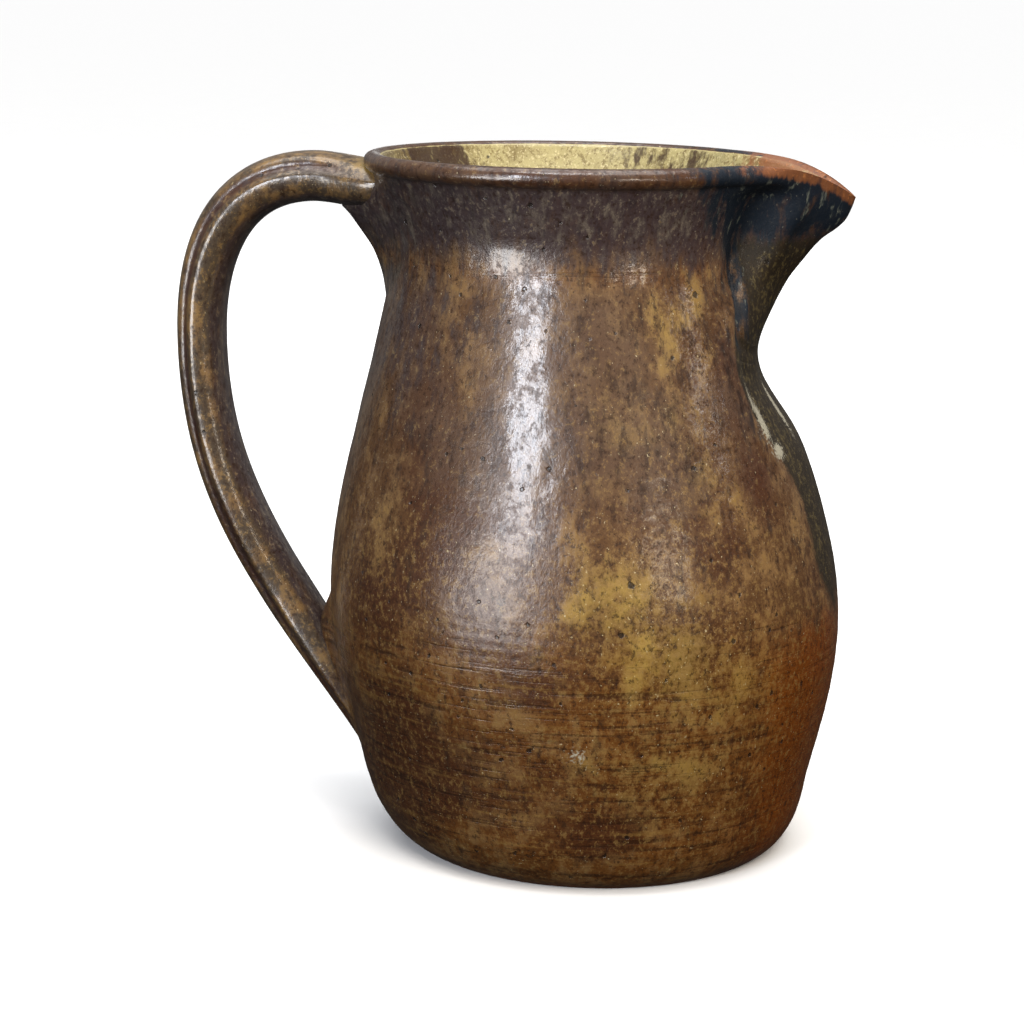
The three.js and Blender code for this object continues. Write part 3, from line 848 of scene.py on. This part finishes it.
def glaze_layers(tree, brown, pattern):
    """The colour with every layer laid over the brown, and each layer's share by its name."""
    colour, share = linear(brown), {}
    for layer, hex_colour, pattern_name, mark, lift, start, full, strength in GLAZE_LAYERS:
        here = add(tree, "ShaderNodeAttribute", {"attribute_name": mark}, {}).outputs["Fac"]
        lifted = add(tree, MATH, MULTIPLY_ADD, {0: here, 1: lift, 2: pattern[pattern_name]}).outputs[0]
        edge = {"Value": lifted, "From Min": start, "From Max": full, "To Max": strength}
        share[layer] = add(tree, RAMP, S_SHAPED, edge).outputs[0]
        laid = {"Factor": share[layer], MIX_A: colour, MIX_B: linear(hex_colour)}
        colour = add(tree, MIX, IN_COLOUR, laid).outputs[MIX_COLOUR]
    return colour, share


print(len(PATTERNS), "patterns,", len(GLAZE_LAYERS), "layers")

# %% The glaze as a material
PIT_SPACING = 8
PIT_COLOUR = "#17110d"
GLAZE_ROUGHNESS = 0.34
MATT_ROUGHNESS = 0.2  # added where soot, scorch or bare clay is matt
THIN_GLASS = 0.08  # the coat's least share, where the salt didn't take
BASE_SPECULAR = 0.4
GLASS_ROUGHNESS = 0.12
SKIN_RELIEF = 0.35
GLASS_RELIEF = 1.0


def ash_glaze(name, brown, gloss):
    """Glossy brown stoneware glaze: mottled, ash-specked, run in streaks, greyed by a painted sheen, darkened
    by iron, soot and painted shade.
    """
    material = bpy.data.materials.new(name)
    material.use_nodes = True
    tree = material.node_tree
    shader = tree.nodes["Principled BSDF"]
    place = add(tree, "ShaderNodeTexCoord", {}, {}).outputs["Object"]
    pattern = glaze_patterns(tree, place)
    colour, share = glaze_layers(tree, brown, pattern)

    # Pinholes: small dark pits where gas broke through, wider in the thick olive ash.
    cells = add(tree, "ShaderNodeTexVoronoi", {}, {"Vector": place, "Scale": 1 / (PIT_SPACING * MM)})
    near = cells.outputs["Distance"]
    for height, amount in ((share["olive ash"], -0.1), (pattern["flecks"], 0.2)):
        near = add(tree, MATH, MULTIPLY_ADD, {0: height, 1: amount, 2: near}).outputs[0]
    hole = {"Value": near, "From Min": 0.2, "From Max": 0.15, "To Max": 0.8}
    pits = add(tree, RAMP, S_SHAPED, hole).outputs[0]
    laid = {"Factor": pits, MIX_A: colour, MIX_B: linear(PIT_COLOUR)}
    colour = add(tree, MIX, IN_COLOUR, laid).outputs[MIX_COLOUR]

    # Soot, scorch and bare clay are matt. Elsewhere the glass lies in patches, as the gloss mark says.
    matt = add(tree, MATH, MAXIMUM, {0: share["soot_and_fold_shade"], 1: share["bare lip"]}).outputs[0]
    matt = add(tree, MATH, MAXIMUM, {0: share["scorched olive"], 1: matt}).outputs[0]
    rough = add(tree, MATH, MULTIPLY_ADD, {0: matt, 1: MATT_ROUGHNESS, 2: GLAZE_ROUGHNESS}).outputs[0]
    wet = add(tree, MATH, ADD, {0: pattern["mottle"], 1: pattern["flecks"]}).outputs[0]
    patchy = {"Value": wet, "From Min": 0.88, "From Max": 1.06, "To Min": THIN_GLASS * gloss, "To Max": gloss}
    glassy = add(tree, RAMP, S_SHAPED, patchy).outputs[0]
    shiny = add(tree, MATH, SUBTRACT, {0: 1, 1: matt}).outputs[0]
    sheen = add(tree, "ShaderNodeAttribute", {"attribute_name": "gloss"}, {}).outputs["Fac"]
    coat = add(tree, MATH, MULTIPLY, {0: shiny, 1: glassy}).outputs[0]
    coat = add(tree, MATH, MULTIPLY, {0: coat, 1: sheen}).outputs[0]

    # The skin under the glass is grainy, and the glass itself has only wide, soft dents.
    relief, dents = pattern["mottle"], pattern["dents"]
    for height, amount in ((pattern["flecks"], 0.6), (share["ring lines"], -0.4), (pits, -1.2)):
        relief = add(tree, MATH, MULTIPLY_ADD, {0: height, 1: amount, 2: relief}).outputs[0]
    for height, amount in ((pattern["mottle"], 0.35), (share["ring lines"], -0.1), (pits, -0.5)):
        dents = add(tree, MATH, MULTIPLY_ADD, {0: height, 1: amount, 2: dents}).outputs[0]
    skin = add(tree, "ShaderNodeBump", {}, {"Strength": 0.7, "Distance": SKIN_RELIEF * MM, "Height": relief})
    glass = add(tree, "ShaderNodeBump", {}, {"Strength": 0.8, "Distance": GLASS_RELIEF * MM, "Height": dents})

    shader.inputs["Specular IOR Level"].default_value = BASE_SPECULAR
    shader.inputs["Coat Roughness"].default_value = GLASS_ROUGHNESS
    outputs = {
        "Base Color": colour,
        "Roughness": rough,
        "Coat Weight": coat,
        "Normal": skin.outputs[0],
        "Coat Normal": glass.outputs[0],
    }
    for socket, output in outputs.items():
        tree.links.new(output, shader.inputs[socket])
    print(name, len(tree.nodes), "nodes")
    return material


body_glaze = ash_glaze("salt_glazed_stoneware_body", "#54391f", 0.8)
spout_glaze = ash_glaze("salt_glazed_stoneware_beak", "#54391f", 0.7)
handle_glaze = ash_glaze("salt_glazed_stoneware_handle", "#45392c", 0.8)

# %% [markdown]
# ## Setting the pieces in the frame
#
# Each mesh gets its kiln marks, its glaze and smooth shading with sharp edges only at the cuts. It is
# scaled to metres with its place in its mesh, rides on the pot's one body, and stands for its CAD node.

# %% Finish the pieces
SHARP_ANGLE = math.radians(60)


def finish_piece(name, mesh, kiln, glaze, node):
    """Mark, glaze and scale a mesh, and set it in the frame in place of its CAD node."""
    mesh.name = name
    mesh.shade_smooth()
    mesh.set_sharp_from_angle(angle=SHARP_ANGLE)
    for mark, shares in kiln(mesh).items():
        values = mesh.attributes.new(mark, "FLOAT", "POINT")
        values.data.foreach_set("value", shares.astype(np.float32))
    mesh.transform(Matrix.Scale(MM, 4))
    mesh.materials.clear()
    mesh.materials.append(glaze)
    piece = bpy.data.objects.new(name, mesh)
    scene.collection.objects.link(piece)
    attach(piece, "root")
    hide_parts(node)
    print(name, "stands for", node)


finish_piece("glazed_body", body_mesh, pot_marks, body_glaze, "thrown_body")
finish_piece("glazed_beak", spout_mesh, pot_marks, spout_glaze, "beak_spout")
finish_piece("pressed_seam_coil", coil_mesh, pot_marks, spout_glaze, "spout_seam_coil")
finish_piece("glazed_strap_handle", handle_mesh, strap_marks, handle_glaze, "strap_handle")
finish_piece("wiped_upper_joint", upper_mesh, pot_marks, handle_glaze, "upper_joint_clay")
finish_piece("wiped_lower_joint", lower_mesh, pot_marks, handle_glaze, "lower_joint_clay")

# %% [markdown]
# ## Studio
#
# The pot stands on plain matt paper: an even pale ground with no gloss of its own. A tall soft window to
# the left of the camera draws the long highlight down the shoulder, a low board carries it on over the
# belly, small lights to the right add sparks at the neck, and a strip overhead lines the rim. Two broad
# fills light the glaze without a reflection of their own, and a wide soft sun from above lights the floor
# evenly, far into the distance.

# %% Lay the floor
FLOOR_HALF_SIZE = 40  # metres
PAPER_FIBRE = 40  # drawn this coarse, in mm, so that it shows

floor_grid = bmesh.new()
bmesh.ops.create_grid(floor_grid, x_segments=1, y_segments=1, size=FLOOR_HALF_SIZE)
floor_mesh = bpy.data.meshes.new("floor")
floor_grid.to_mesh(floor_mesh)
floor_grid.free()
floor = bpy.data.objects.new("floor", floor_mesh)
scene.collection.objects.link(floor)
floor.visible_glossy = False
floor.visible_diffuse = False
paper = bpy.data.materials.new("matt_white_paper")
paper.use_nodes = True
paper_tree = paper.node_tree
paper_shader = paper_tree.nodes["Principled BSDF"]
paper_place = add(paper_tree, "ShaderNodeTexCoord", {}, {}).outputs["Object"]
fibre_look = {"Vector": paper_place, "Scale": 1 / (PAPER_FIBRE * MM), "Detail": 2}
fibre = add(paper_tree, "ShaderNodeTexNoise", {}, fibre_look).outputs["Fac"]
shade = add(paper_tree, RAMP, {}, {"Value": fibre, "To Min": 0.86, "To Max": 0.88}).outputs[0]
paper_tree.links.new(shade, paper_shader.inputs["Base Color"])
paper_shader.inputs["Roughness"].default_value = 0.9
paper_shader.inputs["Specular IOR Level"].default_value = 0
floor_mesh.materials.append(paper)
print("floor of", 2 * FLOOR_HALF_SIZE, "m")

# %% Set the lights and the world
COOL, WARM, WHITE = "#eef4ff", "#fff3e2", "#ffffff"
LIGHT_AIM = Vector((0, 0, 0.12))  # metres


def soft_light(name, heading, elevation, distance, width, height, power, tint, mirrored=True):
    """An oval light facing the belly, placed by heading and elevation; unmirrored ones leave no highlight."""
    data = bpy.data.lights.new(name, "AREA")
    data.shape = "ELLIPSE"
    data.size, data.size_y = width, height
    data.energy = power
    data.color = linear(tint)[:3]
    light = bpy.data.objects.new(name, data)
    scene.collection.objects.link(light)
    level = math.cos(math.radians(elevation)) * distance
    offset = Vector((
        level * math.cos(math.radians(heading)),
        level * math.sin(math.radians(heading)),
        distance * math.sin(math.radians(elevation)),
    ))
    light.visible_camera = False
    light.visible_glossy = mirrored
    light.location = LIGHT_AIM + offset
    light.rotation_euler = (-offset).to_track_quat("-Z", "Y").to_euler()
    return light


soft_light("window", -113, 17, 1.4, 0.32, 0.6, 11, COOL)
low_reflector = soft_light("low_reflector", -125, -3, 0.8, 0.45, 0.3, 4.0, WHITE)
low_reflector.visible_diffuse = False  # a mirror board: it only adds its own glint
soft_light("right_spark", -48.5, 8, 1.4, 0.32, 0.16, 2.6, WARM)
soft_light("right_strip", -14, 20.5, 1.4, 0.06, 0.12, 0.4, COOL)
soft_light("overhead_strip", -95, 66, 1.2, 0.6, 0.12, 3, WHITE)
soft_light("backdrop", 92, 4, 3, 1.0, 0.3, 0.8, WHITE)
soft_light("front_fill", -60, 38, 1.8, 1.4, 1.0, 23.5, WARM, mirrored=False)
soft_light("back_fill", 90, 30, 1.8, 1.8, 1.2, 14, WHITE, mirrored=False)

sun_data = bpy.data.lights.new("overhead", "SUN")
sun_data.energy = 2.75
sun_data.angle = math.radians(70)
sun = bpy.data.objects.new("overhead", sun_data)
scene.collection.objects.link(sun)

world = bpy.data.worlds.new("studio")
world.use_nodes = True
sky = world.node_tree
ray = add(sky, "ShaderNodeTexCoord", {}, {}).outputs["Generated"]
upward = add(sky, "ShaderNodeSeparateXYZ", {}, {"Vector": ray}).outputs["Z"]
brighter_up = {"Value": upward, "From Min": -0.3, "From Max": 0.3, "To Min": 0.03, "To Max": 0.25}
dome = add(sky, RAMP, {}, brighter_up).outputs[0]
sky.nodes["Background"].inputs["Color"].default_value = (1, 1, 1, 1)
sky.links.new(dome, sky.nodes["Background"].inputs["Strength"])
scene.world = world
scene.view_settings.view_transform = "Standard"
